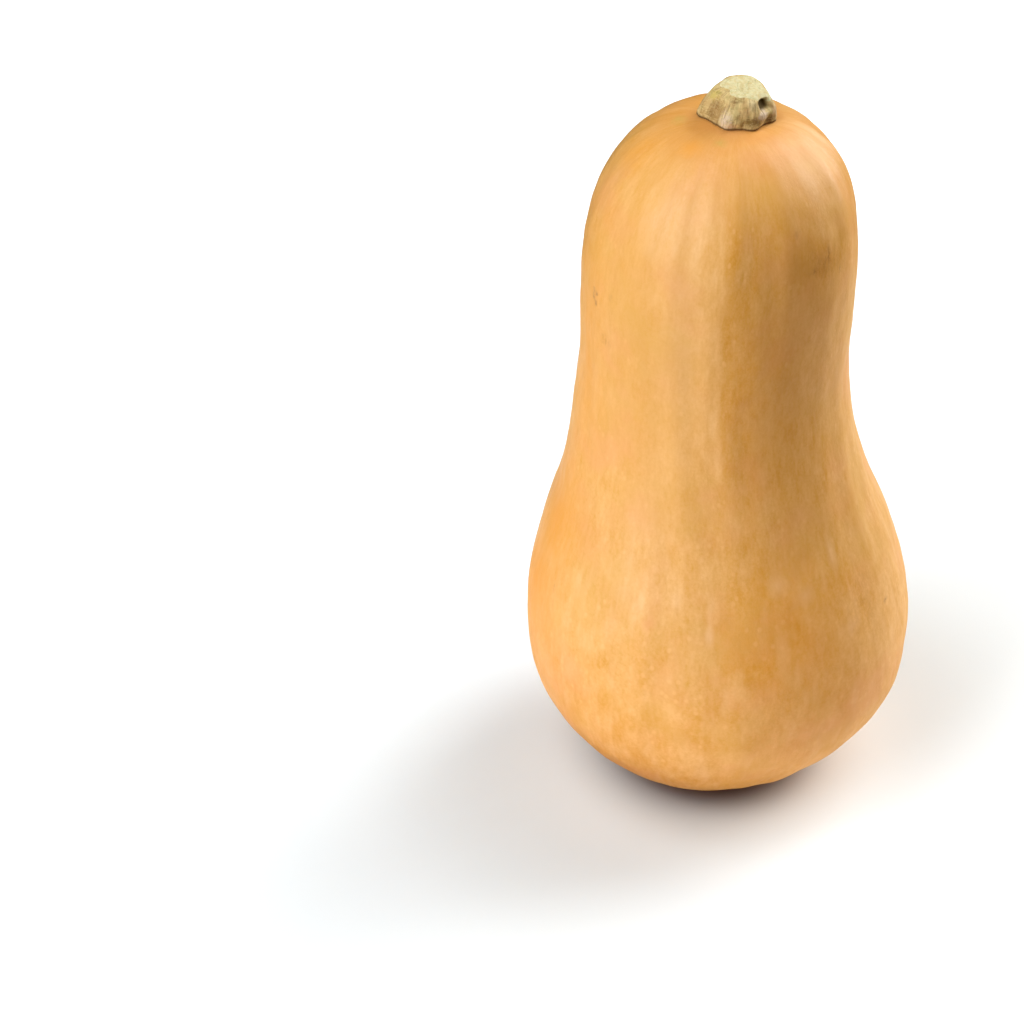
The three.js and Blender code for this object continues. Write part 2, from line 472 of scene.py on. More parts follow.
@dataclass(frozen=True)
class FruitForm:
    """The shape of the fruit: an outline carried round an axis that sways, with flutes and swellings."""

    height: float = 220.6
    depth_ratio: float = 0.985  # front to back over side to side
    outline: tuple = (
        (17, 0), (25, 2.5), (35, 8), (45, 18), (54, 33), (57, 49), (55.9, 66), (51.4, 84), (45.1, 102),
        (40.4, 122), (38.1, 142), (38, 162), (37.7, 180), (34.9, 197), (28.7, 209), (21, 216), (14.5, 218.9),
        (9, 219.7), (0, 220.6),
    )
    scar_outline: tuple = (
        (0, 0.4), (1.7, 0.5), (2.8, 1.3), (4.6, 1.7), (6.4, 0.5), (7.6, 0), (12.4, 0), (17, 0),
    )
    axis: tuple = (
        (0, -2.2, 0.8), (45, 0, 0), (90, -1.6, 1.2), (135, -4.5, 2.2), (180, -4.5, 1.4), (220.6, -3.2, 0.6),
    )
    flutes: int = 10
    flute_depth: float = 0.4
    flute_start: float = 9.0
    flute_front: tuple = (280.0, 42.0)  # where the flutes are deepest, and the reach of it
    flute_least: float = 0.12  # their share elsewhere
    flute_bend: tuple = (263.0, 20.0)  # where they are drawn aside, and the reach of it
    flute_aside: float = 9.0  # how far they are drawn
    shoulder: tuple = (203.0, 22.0)  # height and reach of the flutes on the crown's shoulder
    lower_bulb: tuple = (26.0, 24.0)  # height and reach of those on the lower bulb
    lower_share: float = 0.6  # how deep these are, in parts of those
    swellings: tuple = (
        Swelling(345, 28, 22, 0.6), Swelling(0, 109, 15, -0.4), Swelling(180, 97, 10, -0.45),
        Swelling(180, 77, 9, -0.45), Swelling(180, 123, 15, 0.45), Swelling(182, 150, 16, -0.3),
        Swelling(232, 62, 16, -0.4), Swelling(285, 118, 18, 0.4), Swelling(312, 60, 15, 0.45),
        Swelling(60, 90, 18, 0.5), Swelling(118, 60, 20, -0.5), Swelling(95, 150, 20, -0.4),
        Swelling(30, 165, 18, 0.4),
    )
    foot_fade: float = 12.0  # height over which relief comes in
    stem_fade: tuple = (9.0, 24.0)  # radii between which it goes out under the stem
    growth_radius: float = 38.0  # the radius that the growth is unrolled at

    def unrolled(self, angle: float, height: float) -> tuple[np.ndarray, float]:
        """Finds where a point of the skin lies on the unrolled growth.

        Args:
            angle: The point's angle.
            height: Its height.

        Returns:
            Its place there, and how many times wider the growth is than the fruit at that height.
        """
        radius, up = curve_through(self.outline, CURVE_STEPS).T
        climb = np.concatenate([[0.0], np.cumsum(np.hypot(np.diff(radius), np.diff(up)))])
        around = self.growth_radius * np.array([np.cos(np.radians(angle)), np.sin(np.radians(angle))])
        widening = self.growth_radius / np.interp(height, up, radius)
        return np.array([*around, np.interp(height, up, climb)]), widening

    def fade(self, grid: SkinGrid) -> np.ndarray:
        """How much relief there is: none on the flat spot that the fruit stands on or under the stem."""
        return smooth_step(grid.height, 0.0, self.foot_fade) * smooth_step(grid.radius, *self.stem_fade)

    def relief(self, grid: SkinGrid) -> np.ndarray:
        """How far the skin stands out: flutes, as cosine lobes, plus one bell for each swelling.

        Args:
            grid: Where to read it.

        Returns:
            The lift over the grid.
        """
        (over, far), (under, near) = self.shoulder, self.lower_bulb
        fluted = bell(grid.height - over, far) + self.lower_share * bell(grid.height - under, near)
        aside = np.radians(self.flute_aside) * bell_round(grid.angle, *self.flute_bend)
        turned = grid.angle - aside - np.radians(self.flute_start)
        share = self.flute_least + (1.0 - self.flute_least) * bell_round(grid.angle, *self.flute_front)
        lift = self.flute_depth * fluted * share * np.cos(self.flutes * turned)
        for swelling in self.swellings:
            around = angle_between(grid.angle, np.radians(swelling.angle)) * grid.radius
            off = np.hypot(around, grid.height - swelling.height)
            lift = lift + swelling.lift * bell(off, swelling.reach)
        return lift * self.fade(grid)

    def point(self, radius: Numbers, height: Numbers, angle: Numbers) -> np.ndarray:
        """The place that a radius reaches: out from the swaying axis, a little less front to back.

        Args:
            radius: The radius from the axis.
            height: The height.
            angle: The angle in radians.

        Returns:
            The places over the common grid of all three.
        """
        radius, height, angle = np.broadcast_arrays(radius, height, angle)
        middle = height_curve(height, self.axis)
        x = middle[..., 0] + radius * np.cos(angle)
        y = middle[..., 1] + self.depth_ratio * radius * np.sin(angle)
        return triples(x, y, height)

    def crown_height(self, x: np.ndarray, y: np.ndarray) -> np.ndarray:
        """The height of the bare crown, read from the outline by the distance from the crown's middle.

        Args:
            x: How far to the right to read it.
            y: How far to the back.

        Returns:
            The heights.
        """
        middle = self.point(0.0, self.height, 0.0)
        distance = np.hypot(x - middle[0], (y - middle[1]) / self.depth_ratio)
        crown = curve_through(self.outline, CURVE_STEPS)[::-1][: CURVE_STEPS // 3]
        return np.interp(distance, crown[:, 0], crown[:, 1])


class MarkKind(Enum):
    """What a mark on the rind is, named as its mesh attribute is."""

    BLUSH = "blush"
    # paler: partly painted highlight, partly the rind's own pale dashes and spots
    PALE_AND_HIGHLIGHT = "pale"
    # deeper orange: partly painted warm bounce light and painted shade, partly the rind's own tone
    DEEP_BOUNCE_AND_SHADE = "deep"
    # duller, darker orange: partly painted shade, partly the rind's own tone
    DULL_AND_SHADE = "dull"
    GREEN = "green"
    SCUFF = "scuff"
    SCAB = "scab"


@dataclass(frozen=True)
class Marks:
    """The marks of one kind on the rind, each a soft ellipse on the unrolled growth."""

    kind: MarkKind
    colour: Colour
    spots: tuple  # each one's angle, height, half width, half length along the growth and strength
    broken: bool = False  # whether they are broken into crumbs
    least: float = -0.5  # the share that is kept far from all of them

    def shares(self, form: FruitForm, growth: np.ndarray) -> np.ndarray:
        """Works out how much of the marks lies at each place: strength x (1 - distance in half sizes).

        Args:
            form: The fruit's shape.
            growth: The places, on the unrolled growth.

        Returns:
            The largest share of any mark at each place.
        """
        shares = np.full(len(growth), self.least)
        for angle, height, width, length, strength in self.spots:
            place, widening = form.unrolled(angle, height)
            apart = (growth - place) / (width * widening, width * widening, length)
            shares = np.maximum(shares, strength * (1.0 - np.linalg.norm(apart, axis=-1)))
        return shares


@dataclass(frozen=True)
class Grain:
    """One layer of the rind's unevenness in tone, as a noise on the growth."""

    size: float  # across the growth
    stretch: float  # how many times longer it is along the growth
    amount: float
    detail: float = 2.0
    on_bulb: bool = False  # whether it shows on the bulb alone
    rough: float = 0.55
    shift: float = 3.1  # how far off its noise is read, in its own sizes

    def noise(self) -> Noise:
        """Its noise, without its amount."""
        squeeze = (1.0, 1.0, 1.0 / self.stretch)
        return Noise(self.size, self.detail, self.rough, 0.0, "growth", squeeze, self.shift * self.size)


MARKS = (
    Marks(MarkKind.BLUSH, (0.8, 0.35, 0.13), (
        (244.9, 83, 2.6, 3.4, 0.6), (312, 48, 16, 16, 0.3), (290, 42, 16, 14, 0.25),
        (110, 71, 4, 3.6, 0.6), (140, 46, 12, 14, 0.4),
    )),
    # Paler. The long band at 250 degrees on the neck is a painted reflection of the key lamp, and the streak
    # at 317 degrees on the crown is a painted highlight. The others are the rind's own pale dashes and spots.
    Marks(MarkKind.PALE_AND_HIGHLIGHT, (0.93, 0.6, 0.32), (
        (264.5, 81.7, 1.6, 4.6, 0.8), (286.9, 76, 2.8, 11, 0.55), (311.7, 98.5, 2.2, 9, 0.6),
        (254.2, 91.1, 5, 6, 0.35), (288, 94.8, 4.2, 4.4, 0.6), (297.5, 90.3, 3.6, 4, 0.6),
        (313.2, 76.4, 3.8, 3.6, 0.6), (250, 172, 10, 60, 0.2), (243, 98, 20, 60, 0.15),
        (317, 211.2, 3.2, 9, 0.35), (48, 92, 2.4, 9, 0.5), (142, 84, 2.8, 7, 0.5),
        (95, 66, 4.4, 5, 0.4), (100, 160, 10, 55, 0.3),
    )),
    # Deeper orange. The spots at 190 to 197 degrees on the left and at 292 degrees on the shaded right of the
    # bulb are painted warm bounce light. The one at 228 degrees by the stem's root is painted shade. The
    # others are the rind's own deeper tone.
    Marks(MarkKind.DEEP_BOUNCE_AND_SHADE, (0.83, 0.34, 0.035), (
        (197, 150, 14, 60, 0.5), (190, 70, 26, 44, 0.9), (192, 92, 20, 34, 0.9),
        (292, 78, 26, 38, 0.42), (228, 218, 4, 4, 0.5), (192, 213, 9, 9, 0.45),
        (60, 150, 12, 60, 0.3), (20, 208, 10, 12, 0.4),
    )),
    # Duller, darker orange. The long mark down the neck at 298 degrees and the one under the crown at 304
    # degrees are painted shade on the shaded front right. The others are the rind's own duller tone.
    Marks(MarkKind.DULL_AND_SHADE, (0.64, 0.29, 0.032), (
        (298, 158, 20, 66, 0.45), (304, 191, 11, 13, 0.7), (80, 150, 16, 60, 0.3),
        (322, 76, 24, 30, 0.22),
    )),
    Marks(MarkKind.GREEN, (0.48, 0.4, 0.07), (
        (176, 219, 3.2, 3, 0.35), (253, 219.3, 2.4, 2.6, 0.3),
    )),
    Marks(MarkKind.SCUFF, (0.42, 0.165, 0.035), (
        (213.6, 161.8, 3, 2.3, 0.4), (216, 176.4, 1.6, 1.6, 0.25), (317.8, 192.2, 1.2, 3.4, 1),
        (315.2, 190, 2, 1.8, 0.8), (308.8, 189.2, 2.3, 1.5, 0.65), (316, 190, 7.5, 5, 0.35),
        (325, 185.6, 1.2, 1.6, 0.4), (300.6, 201.4, 1.8, 2.2, 0.35), (204.8, 76.6, 0.8, 2.4, 0.5),
        (205.8, 72, 0.8, 2.4, 0.45), (318, 80, 8, 10, 0.14), (36, 58, 5, 6, 0.3),
        (62, 176, 0.8, 5, 0.5),
    ), broken=True),
    Marks(MarkKind.SCAB, (0.35, 0.115, 0.03), (
        (203.8, 174.8, 1.3, 1.3, 1.2), (203.8, 172.8, 1.5, 1.9, 1), (206.2, 174.6, 1, 0.9, 1.1),
        (205.5, 171.1, 1.1, 1.5, 1.2), (331.2, 75.1, 2, 1.3, 0.6), (74, 141, 1.1, 1.2, 0.6),
        (77.5, 138.5, 0.9, 0.9, 0.5), (131, 188, 0.9, 1.2, 0.5),
    ), broken=True),
)


@dataclass(frozen=True)
class RindFinish:
    """The finish of the rind: satin buff, with bands, streaks, threads and mottles of tone, and marks.

    The front rib and some of the marks carry painted light and shade.
    """

    dark: Colour = (0.695, 0.318, 0.036)
    light: Colour = (0.880, 0.520, 0.205)
    middle_tone: float = 0.48  # 0 is dark and 1 is light
    rib_painted_light_and_shade: float = 0.28  # painted light and shade: how much lighter the left side of the front rib is, and darker the right
    bulb_tone: float = 0.12  # how much lighter the bulb is
    grains: tuple = (
        Grain(45.0, 1.2, 0.20),
        Grain(11.0, 5.0, 0.26),
        Grain(6.0, 1.5, 0.37),
        Grain(8.0, 1.3, 0.20, on_bulb=True),
        Grain(2.6, 3.2, 0.42, 3.0),
        Grain(1.1, 3.2, 0.40),
        Grain(0.6, 1.3, 0.32),
    )
    mottle_size: float = 7.0  # round pale mottles on the bulb
    mottle_amount: float = 0.36
    mottle_edge: float = 0.45  # where a mottle is neither lighter nor darker, in cell widths
    mottle_soft: float = 0.5
    mottle_bend: float = 5.0
    mottle_squeeze: tuple = (1.0, 1.0, 0.8)
    clouds: tuple = (  # soft clouds of pink and of khaki
        (Noise(19.0, 3.0, 0.55, shift=17.0, climb=(0.44, 0.72, 0.0, 0.5)), (0.820, 0.385, 0.150)),
        (Noise(23.0, 3.0, 0.55, shift=71.0, climb=(0.44, 0.72, 0.0, 0.5)), (0.730, 0.405, 0.095)),
    )
    dash: Colour = (0.930, 0.600, 0.320)
    dashes: Noise = Noise(  # pale dashes on the bulb
        2.4, follows="growth", squeeze=(1.0, 1.0, 0.16), shift=13.0, climb=(0.5, 0.76, 0.0, 0.24)
    )
    speck_size: float = 2.1  # pale specks in loose groups
    speck_squeeze: tuple = (1.0, 1.0, 0.6)
    speck_climb: tuple = (0.1, 0.34, 1.0, 0.0)
    speck_groups: Noise = Noise(14.0, shift=29.0, climb=(0.42, 0.62, 0.0, 0.6))
    crown: Colour = (0.700, 0.300, 0.064)
    crown_patches: Noise = Noise(9.0, shift=47.0, climb=(0.35, 0.65, 0.55, 1.0))
    marks: tuple = MARKS
    ragged: Noise = Noise(1.6, 3.0, 0.6)  # the unevenness of the marks' edges
    raggedness: float = 0.32
    crumbs: Noise = Noise(  # what breaks them
        0.9, 3.0, 0.6, follows="growth", squeeze=(1.0, 1.0, 0.5), climb=(0.38, 0.6, 0.25, 1.0)
    )
    cork: Colour = (0.300, 0.170, 0.060)  # on the blossom scar
    cork_dark: Colour = (0.120, 0.060, 0.022)
    cork_grain: Noise = Noise(0.6, 5.0, 0.7, climb=(0.35, 0.65))
    scar_ragged: float = 0.5
    scar_climb: tuple = (0.55, 0.95)
    scar_depth: float = 0.25
    scar_dull: float = 0.4  # how much rougher the scar is
    roughness: float = 0.44
    roughness_spread: float = 0.3
    sheen: Noise = Noise(1.6, 3.0, 0.6, follows="growth", squeeze=(1.0, 1.0, 0.2))  # streaks in its gloss
    pores: Noise = Noise(0.8, 3.0, 0.6)
    pore_depth: float = 0.05
    streak_height: float = 0.9  # the height of the gloss's streaks over that of the pores
    ior: float = 1.45

    def material(self) -> bpy.types.Material:
        """Writes the rind's material.

        Returns:
            The material, for a mesh with the attribute growth, the rind's zones and each kind of mark.
        """
        bench = Bench("rind")
        ragged = bench.noise(self.ragged)
        colour = self.marked_colour(bench, self.grown_colour(bench), ragged)
        scar = bench.maths(Step.MULTIPLY_ADD, ragged, self.scar_ragged, bench.number("scar"))
        scar = bench.ramp(scar, *self.scar_climb)
        colour = bench.lay(scar, colour, bench.lay(bench.noise(self.cork_grain), self.cork_dark, self.cork))

        sheen = bench.noise(self.sheen)
        smoothest = self.roughness - 0.5 * self.roughness_spread
        satin = bench.maths(Step.MULTIPLY_ADD, sheen, self.roughness_spread, smoothest)
        satin = bench.maths(Step.MULTIPLY_ADD, scar, self.scar_dull, satin)
        pores = bench.maths(Step.MULTIPLY_ADD, sheen, self.streak_height, bench.noise(self.pores))
        normal = bench.bump(pores, self.pore_depth)
        normal = bench.bump(bench.maths(Step.MULTIPLY, scar, ragged), self.scar_depth, Normal=normal)
        return bench.finish({"Base Color": colour, "Roughness": satin, "IOR": self.ior, "Normal": normal})

    def grown_tone(self, bench: Bench, busy: Socket) -> Socket:
        """Works out the rind's tone: the sum of the grains, each a noise less its mean, and of round mottles.

        Args:
            bench: The material's bench.
            busy: How uneven the tone is off the bulb.

        Returns:
            The tone, from 0 where the rind is dark to 1 where it is light.
        """
        bulb = bench.number("bulb")
        # Painted light on the left side of the front rib, and painted shade on its right.
        tone = bench.maths(Step.MULTIPLY_ADD, bench.number("rib"), self.rib_painted_light_and_shade, self.middle_tone)
        tone = bench.maths(Step.MULTIPLY_ADD, bulb, self.bulb_tone, tone)
        for grain in self.grains:
            wave = bench.maths(Step.SUBTRACT, bench.noise(grain.noise()), 0.5)
            amount = bench.maths(Step.MULTIPLY, bulb if grain.on_bulb else busy, 2.0 * grain.amount)
            tone = bench.maths(Step.MULTIPLY_ADD, wave, amount, tone)
        where = bench.bent(bench.along("growth", self.mottle_squeeze), self.mottle_bend, self.mottle_bend)
        cells = bench.cells(where, self.mottle_size, self.mottle_soft)
        cells = bench.maths(Step.SUBTRACT, self.mottle_edge, cells)
        amount = bench.maths(Step.MULTIPLY, bulb, self.mottle_amount)
        return bench.clamp(bench.maths(Step.MULTIPLY_ADD, cells, amount, tone))

    def grown_colour(self, bench: Bench) -> Socket:
        """Works out the rind's colour without its marks: its tone, with clouds, dashes, specks and the crown.

        Args:
            bench: The material's bench.

        Returns:
            The colour.
        """
        busy = bench.maths(Step.SUBTRACT, 1.0, bench.number("calm"))
        colour = bench.lay(self.grown_tone(bench, busy), self.dark, self.light)
        for cloud, over in self.clouds:
            colour = bench.lay(bench.noise(cloud), colour, over)
        dashes = bench.maths(Step.MULTIPLY, bench.noise(self.dashes), bench.number("bulb"))
        colour = bench.lay(dashes, colour, self.dash)
        specks = bench.cells(bench.along("growth", self.speck_squeeze), self.speck_size)
        specks = bench.maths(Step.MULTIPLY, bench.ramp(specks, *self.speck_climb), busy)
        specks = bench.maths(Step.MULTIPLY, specks, bench.noise(self.speck_groups))
        colour = bench.lay(specks, colour, self.light)
        crown = bench.maths(Step.MULTIPLY, bench.number("crown"), bench.noise(self.crown_patches))
        return bench.lay(crown, colour, self.crown)

    def marked_colour(self, bench: Bench, colour: Socket, ragged: Socket) -> Socket:
        """Lays the marks over the rind's colour, one kind after another.

        Args:
            bench: The material's bench.
            colour: The rind's colour.
            ragged: The noise that makes their edges uneven.

        Returns:
            The colour with the marks.
        """
        edge = bench.maths(Step.MULTIPLY_ADD, ragged, -self.raggedness, 0.5 * self.raggedness)
        crumbs = bench.noise(self.crumbs)
        for marks in self.marks:
            share = bench.clamp(bench.maths(Step.ADD, bench.number(marks.kind.value), edge))
            if marks.broken:
                share = bench.maths(Step.MULTIPLY, share, crumbs)
            colour = bench.lay(share, colour, marks.colour)
        return colour


@dataclass
class Fruit:
    """The whole fruit: one closed skin from the blossom scar to the crown."""

    form: FruitForm = field(default_factory=FruitForm)
    finish: RindFinish = field(default_factory=RindFinish)
    sides: int = 288
    rings: int = 300
    scar_rings: int = 36
    ribs: Ripples = Ripples(0.1, 9.0, seed=3)  # long faint ribs that follow the growth
    rib_squeeze: tuple = (1.0, 1.0, 0.12)
    lumps: Ripples = Ripples(0.08, 26.0, seed=5)
    dimples: Ripples = Ripples(0.03, 7.0, seed=8)
    inset: float = 0.15  # keeps most of those within the driving shape
    # The rib down the front of the neck, first the heights and angles that it runs through.
    front_line: tuple = ((110.0, 272.0), (150.0, 269.0), (180.0, 268.0), (202.0, 266.5), (218.0, 263.5))
    front_lift: float = 0.15
    front_reach: float = 4.5
    front_round: float = 0.5  # how round its crest is
    front_edge: float = 0.8  # over which its side of painted light turns into its side of painted shade
    front_sides: float = 1.5  # how far those sides go, in reaches
    front_heights: tuple = (112.0, 135.0, 205.0, 218.0)  # it comes in and goes out between these
    # The zones of the rind.
    scar_reach: float = 6.2
    scar_climb: float = 5.0  # how far along the growth the scar's colour goes at most
    bulb_heights: tuple = (125.0, 80.0)
    crown_reach: float = 24.0
    crown_share: float = 0.85
    calm_side: tuple = (229.0, 34.0)  # the middle and reach of the smoother side of the neck
    calm_heights: tuple = (98.0, 135.0)
    calm_share: float = 0.52

    def build(self) -> bpy.types.Object:
        """Builds and dresses the fruit.

        Returns:
            The new object, which stands for the CAD node fruit.
        """
        form = self.form
        scar = curve_through(form.scar_outline, self.scar_rings)[1:-1]
        line = np.vstack([scar, curve_through(form.outline, self.rings)[:-1]])
        step = np.linalg.norm(np.diff(line, axis=0), axis=1)
        climb = (np.concatenate([[0.0], np.cumsum(step)]) - step[: len(scar)].sum())[:, None]
        angle = np.linspace(0.0, TURN, self.sides, endpoint=False)[None, :]
        growth = triples(form.growth_radius * np.cos(angle), form.growth_radius * np.sin(angle), climb)
        grid = SkinGrid(line[:, :1], np.maximum(line[:, 1:], 0.0), angle, growth)
        rings = form.point(grid.radius + self.lift(grid), grid.height, angle)
        poles = form.point(0.0, np.array([form.height, form.scar_outline[0][1]]), 0.0)
        fruit = ring_mesh("fruit_skin", rings, *poles)
        fit_inside(fruit, "fruit")
        self.write_growth(fruit, grid)
        fruit.data.materials.append(self.finish.material())
        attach(fruit, "root")
        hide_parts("fruit")
        return fruit

    def lift(self, grid: SkinGrid) -> np.ndarray:
        """How far the skin stands out: the driving relief, plus faint ribs, lumps and dimples.

        Args:
            grid: Where to read it.

        Returns:
            The lift over the grid.
        """
        place = self.form.point(grid.radius, grid.height, grid.angle)
        fine = self.ribs.at(grid.growth * self.rib_squeeze) + self.lumps.at(place) + self.dimples.at(place)
        fine = fine - self.inset + self.front_lift * self.front_rib(grid)[0]
        return self.form.relief(grid) + fine * self.form.fade(grid)

    def front_rib(self, grid: SkinGrid) -> tuple[np.ndarray, np.ndarray]:
        """The rib down the front of the neck.

        The lift falls off as exp(-d / reach) from a crest whose d is rounded off near 0. The side goes from 1
        on the left to -1 on the right as a tanh, and fades out some reaches away. The rind's painted light
        and shade follow it.

        Args:
            grid: Where to read it.

        Returns:
            How much of its full lift each place has, and which side of its crest it is on.
        """
        low, rise, fall, high = self.front_heights
        along = smooth_step(grid.height, low, rise) * smooth_step(grid.height, high, fall)
        heights, angles = np.array(self.front_line).T
        middle = np.radians(np.interp(grid.height, heights, angles))
        across = angle_between(grid.angle, middle) * grid.radius
        off = np.hypot(across, self.front_round) - self.front_round
        fade = np.exp(-np.abs(across) / (self.front_sides * self.front_reach))
        return np.exp(-off / self.front_reach) * along, -np.tanh(across / self.front_edge) * fade * along

    def write_growth(self, fruit: bpy.types.Object, grid: SkinGrid) -> None:
        """Keeps where each vertex lies on the growth, and its share of each kind of mark and each zone.

        Args:
            fruit: The fruit.
            grid: The grid that it is made on.
        """
        climb = grid.growth[:, :1, 2]
        places = np.vstack([grid.growth.reshape(-1, 3), [[0.0, 0.0, climb.max()], [0.0, 0.0, climb.min()]]])
        write_attribute(fruit, "growth", places)
        for marks in self.finish.marks:
            write_attribute(fruit, marks.kind.value, marks.shares(self.form, places))
        calm = bell_round(grid.angle, *self.calm_side) * smooth_step(grid.height, *self.calm_heights)
        write_zones(fruit, grid.growth.shape[:2], {
            "crown": (self.crown_share * bell(climb.max() - climb, self.crown_reach), self.crown_share, 0.0),
            # rib: which side of the front rib a vertex is on, for the rind's painted light and shade
            "rib": (self.front_rib(grid)[1], 0.0, 0.0),
            "bulb": (smooth_step(grid.height, *self.bulb_heights), 0.0, 1.0),
            "calm": (self.calm_share * calm, 0.0, 0.0),
            "scar": (bell(grid.radius, self.scar_reach) * (climb < self.scar_climb), 0.0, 1.0),
        })


# ---------------------------------------------------------------- the stem


@dataclass(frozen=True)
class StubGrid:
    """The grid that the stem is worked out on."""

    angle: np.ndarray  # in radians
    share: np.ndarray  # up its side, from 0 at the root to 1 at the cut
    inward: np.ndarray  # across the root or the cut, from 1 at the rim to 0 in the middle

    def unrolled(self) -> np.ndarray:
        """Where each point lies along the fibres: a place on a circle, and the way up the side."""
        x, y = STEM_GIRTH * np.cos(self.angle), STEM_GIRTH * np.sin(self.angle)
        return triples(x, y, STEM_CLIMB * self.share)


@dataclass(frozen=True)
class Ridge:
    """One ridge of the angled stem, which ends in a toe on the crown."""

    angle: float
    width: float  # degrees
    lift: float


@dataclass(frozen=True)
class Knob:
    """A knob on the side of the stem, or a hollow where its lift is below 0."""

    angle: float
    share: float  # up the side
    reach: float
    lift: float


@dataclass(frozen=True)
class StemForm:
    """The shape of the stub: an angled cone on the crown, cut across, with a pit just under the cut."""

    x: float = 1.3  # where it grows, from the middle of the crown
    y: float = 1.7
    base_radius: float = 8.3
    top_radius: float = 6.2
    bulge: float = 0.9
    height: float = 7.9
    lean_x: float = 1.2
    lean_y: float = 0.3
    sunk: float = 0.35  # how far the root goes into the crown
    cut_slope: float = 0.04
    cut_fall: float = 0.022
    cut_dish: float = 0.4
    cut_dish_reach: float = 2.2
    cut_edge: float = 0.7
    cut_edge_start: float = 0.9
    # Where the pale cut begins up the side, and the middle and reach of each bite and what it adds to that.
    cut_from: float = 0.98
    cut_bites: tuple = ((204.0, 22.0, 0.28), (338.0, 20.0, -0.2), (304.0, 12.0, -0.04), (100.0, 30.0, 0.1))
    ridges: tuple = (
        Ridge(174, 20, 2.6), Ridge(247, 16, 0.8), Ridge(298, 17, 1.1),
        Ridge(350, 24, 2.6), Ridge(50, 26, 1.6), Ridge(115, 26, 1.8),
    )
    ridge_kept: float = 0.3  # the share of a ridge that is left at the cut
    pit_angle: float = 322.5
    pit_share: float = 0.73
    pit_width: float = 1.7
    pit_height: float = 1.5
    pit_slant: float = 1.2  # how long the side is there, in heights
    pit_depth: float = 1.7
    knobs: tuple = (
        Knob(314, 0.46, 1.8, 0.55), Knob(331, 0.18, 1.5, -0.7), Knob(290, 0.85, 1.3, 0.35),
        Knob(282, 0.35, 2.0, -0.35), Knob(256, 0.82, 1.6, -0.3), Knob(246, 0.30, 2.0, 0.35),
        Knob(215, 0.50, 3.0, -0.5), Knob(185, 0.70, 1.6, 0.25), Knob(30, 0.40, 2.2, -0.5),
        Knob(75, 0.60, 1.8, 0.4), Knob(95, 0.30, 2.0, -0.5), Knob(140, 0.50, 2.4, -0.4),
    )

    def ridge_lift(self, grid: StubGrid) -> np.ndarray:
        """How far the ridges stand out at the root: one bell in angle for each."""
        return sum(ridge.lift * bell_round(grid.angle, ridge.angle, ridge.width) for ridge in self.ridges)

    def knob_lift(self, grid: StubGrid) -> np.ndarray:
        """How far the knobs and hollows on its side stand out: one bell for each.

        Args:
            grid: Where to read it.

        Returns:
            The lift over the grid.
        """
        middle = 0.5 * (self.base_radius + self.top_radius)
        total = 0.0
        for knob in self.knobs:
            around = angle_between(grid.angle, np.radians(knob.angle)) * middle
            up = (grid.share - knob.share) * self.height
            total = total + knob.lift * bell(np.hypot(around, up), knob.reach)
        return total

    def pit(self, grid: StubGrid) -> np.ndarray:
        """The share of the pit's depth, nearly square: exp(-(around / width)^4 - (up / height)^4).

        Args:
            grid: Where to read it.

        Returns:
            The share over the grid.
        """
        around = angle_between(grid.angle, np.radians(self.pit_angle)) * self.top_radius / self.pit_width
        up = self.pit_slant * (grid.share - self.pit_share) * self.height / self.pit_height
        return np.exp(-(around**4) - up**4)

    def cut_bounds(self, grid: StubGrid) -> np.ndarray:
        """Where the pale cut begins: up the side below 1, and past its edge, towards the middle, above 1."""
        bites = sum(past * bell_round(grid.angle, at, wide) for at, wide, past in self.cut_bites)
        return self.cut_from + bites

    def radius(self, grid: StubGrid) -> np.ndarray:
        """The stem's radius: a full-sided cone, and ridges that fade upwards, rounded in at the cut's edge.

        Args:
            grid: Where to read it.

        Returns:
            The radius over the grid.
        """
        share = grid.share
        cone = self.base_radius + (self.top_radius - self.base_radius) * share
        cone = cone + 4 * self.bulge * share * (1 - share)
        edge = self.cut_edge * smooth_step(share, self.cut_edge_start, 1.0)
        return cone + self.ridge_lift(grid) * (1 + (self.ridge_kept - 1) * share) - edge


@dataclass(frozen=True)
class Patch:
    """A soft patch of colour on the side of the stem."""

    angle: float
    share: float  # up the side
    width: float
    height: float
    colour: tuple  # on a screen
    strength: float

    def distance(self, bench: Bench) -> Socket:
        """Measures how far each place on the side lies from it.

        Args:
            bench: The material's bench.

        Returns:
            The distance in half sizes, which is 1 on the patch's ellipse.
        """
        turned = np.radians(self.angle)
        centre = (STEM_GIRTH * np.cos(turned), STEM_GIRTH * np.sin(turned), STEM_CLIMB * self.share)
        apart = bench.vector(Step.SUBTRACT, bench.along("fibre"), centre)
        apart = bench.vector(Step.DIVIDE, apart, (self.width, self.width, self.height))
        return bench.measure(Step.LENGTH, apart)


